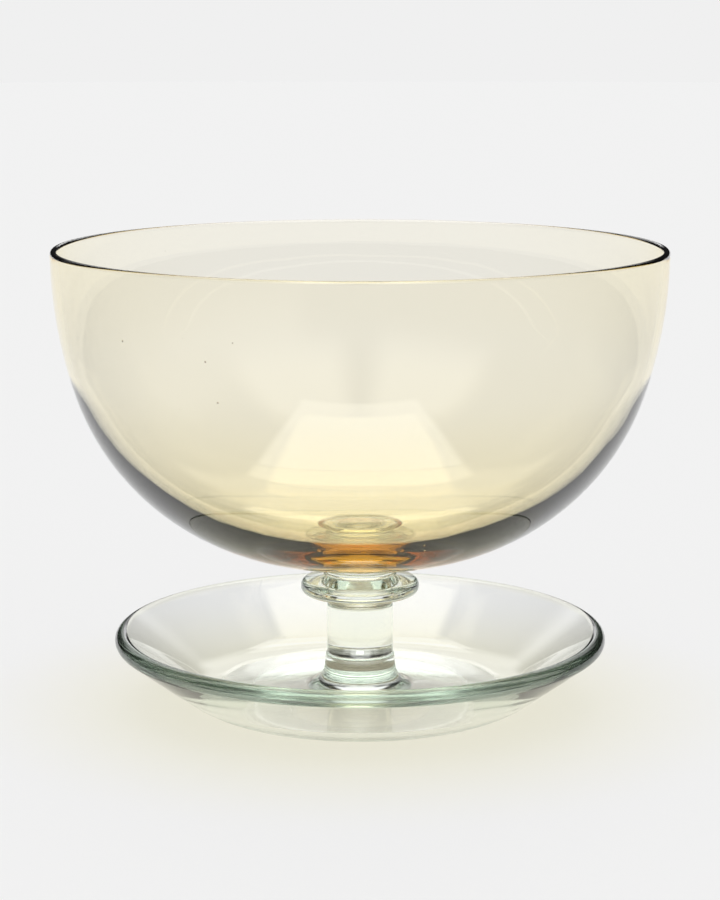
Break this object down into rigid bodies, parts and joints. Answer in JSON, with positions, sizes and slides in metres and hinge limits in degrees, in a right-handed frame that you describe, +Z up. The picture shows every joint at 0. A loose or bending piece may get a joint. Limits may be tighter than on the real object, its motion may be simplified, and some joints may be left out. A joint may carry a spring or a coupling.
{
  "type": "footed glass bowl",
  "caption": "Deep amber glass bowl with a rounded lip, joined by a flat collar and a short clear stem to a dish-shaped clear foot, for serving fruit or for display.",
  "frame": {"origin": "on the bowl's upright axis, in the plane of the flat base ring that the foot stands on", "axes": "+Z up along the axis of the bowl, stem and foot, which all pieces share; X and Y are level and interchangeable"},
  "size_m": [0.2, 0.2, 0.1519],
  "materials": {
    "amber_glass": "fire-polished, transparent, pale olive amber, darker where the glass is thick",
    "clear_glass": "fire-polished, transparent, faint sea green at thick edges"
  },
  "bodies": {
    "root": {"bowl": "amber_glass", "collar": "clear_glass", "stem": "clear_glass", "foot": "clear_glass"}
  },
  "joints": []
}
